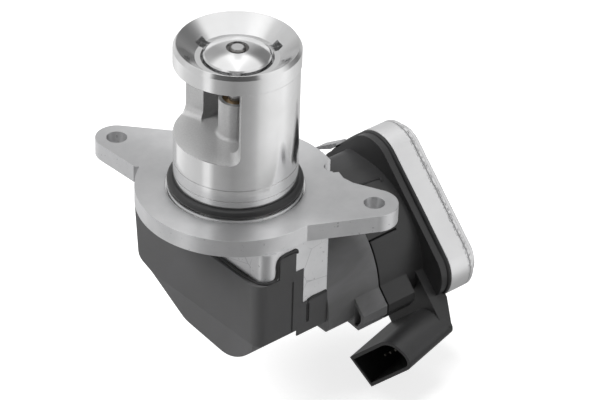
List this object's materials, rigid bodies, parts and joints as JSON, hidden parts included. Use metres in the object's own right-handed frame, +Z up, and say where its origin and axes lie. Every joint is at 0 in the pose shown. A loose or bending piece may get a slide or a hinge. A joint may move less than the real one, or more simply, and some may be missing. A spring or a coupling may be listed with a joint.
{
  "type": "egr valve",
  "caption": "Electric exhaust gas recirculation valve: a lifting poppet in a windowed steel tube on a two-bolt flange, driven by a geared motor with a plug socket.",
  "frame": {"origin": "centre of the mounting flange's top face, on the valve axis", "axes": "+Z up along the valve tube and stem; +X along the motor, from the gear cover towards the end cap"},
  "size_m": [0.1014, 0.103, 0.1302],
  "materials": {
    "machined_steel": "turned, fine circumferential marks",
    "cast_aluminium": "die cast, faces milled satin",
    "cap_aluminium": "matt as-formed",
    "cover_plastic": "fine grained dark grey moulding",
    "black_plastic": "glass-filled black moulding, half matt",
    "black_rubber": "smooth moulded rubber",
    "bronze": "sintered bronze",
    "spring_steel": "drawn wire, oiled",
    "gear_plastic": "natural acetal",
    "magnet": "sintered ferrite",
    "board": "solder-masked board",
    "zinc_steel": "zinc plated",
    "copper_tin": "tinned contact metal",
    "carbon": "pressed carbon"
  },
  "bodies": {
    "housing": {"valve_tube": "machined_steel", "o_ring": "black_rubber", "seat_ring": "machined_steel", "stem_guide_bush": "bronze", "stem_seal": "black_rubber", "lower_guide_bush": "bronze", "return_spring": "spring_steel", "actuator_housing": "cast_aluminium", "gear_cover": "cover_plastic", "cover_gasket": "black_rubber", "cam_axle": "machined_steel", "intermediate_axle": "machined_steel", "sensor_board": "board", "motor_can": "zinc_steel", "motor_end_bell": "zinc_steel", "motor_front_bearing": "bronze", "motor_rear_bearing": "bronze", "motor_magnets": "magnet", "motor_brushes": "carbon", "motor_screws": "zinc_steel", "motor_terminals": "copper_tin", "motor_housing": "black_plastic", "housing_screws": "zinc_steel", "connector_pins": "copper_tin", "connector_cover": "black_plastic", "cap_seal": "black_rubber", "end_cap": "cap_aluminium", "cap_clip": "zinc_steel"},
    "valve": {"valve_stem": "machined_steel", "valve_head": "machined_steel", "spring_retainer": "zinc_steel", "stem_yoke": "zinc_steel", "roller_pin": "machined_steel"},
    "roller": {"cam_roller": "machined_steel"},
    "cam": {"cam_gear": "gear_plastic", "sensor_magnet": "magnet"},
    "intermediate": {"intermediate_gear": "gear_plastic"},
    "rotor": {"motor_shaft": "machined_steel", "motor_armature": "magnet", "motor_pinion": "bronze"}
  },
  "joints": [
    {"name": "valve_lift", "type": "slide", "parent": "housing", "child": "valve", "axis": [0, 0, 1], "range_m": [0, 0.005], "stiffness_N_per_m": 3000, "springref_m": -0.005, "deforming": ["return_spring"]},
    {"name": "motor_spin", "type": "hinge", "parent": "housing", "child": "rotor", "pos_m": [0, -0.0105, -0.0297], "axis": [1, 0, 0], "range_deg": [0, 953.83]},
    {"name": "intermediate_spin", "type": "hinge", "parent": "housing", "child": "intermediate", "pos_m": [0, -0.00766, -0.03824], "axis": [1, 0, 0], "range_deg": [-367.17, 0]},
    {"name": "cam_spin", "type": "hinge", "parent": "housing", "child": "cam", "pos_m": [0, 0.004, -0.0305], "axis": [1, 0, 0], "range_deg": [0, 100.2]},
    {"name": "roller_spin", "type": "hinge", "parent": "valve", "child": "roller", "pos_m": [0, 0, -0.0273], "axis": [1, 0, 0], "continuous": true}
  ],
  "couplings": [
    {"joint": "motor_spin", "follows": "valve_lift", "rad_per_m": 3327.8},
    {"joint": "intermediate_spin", "follows": "valve_lift", "rad_per_m": -1279.9},
    {"joint": "cam_spin", "follows": "valve_lift", "rad_per_m": 349.07}
  ]
}
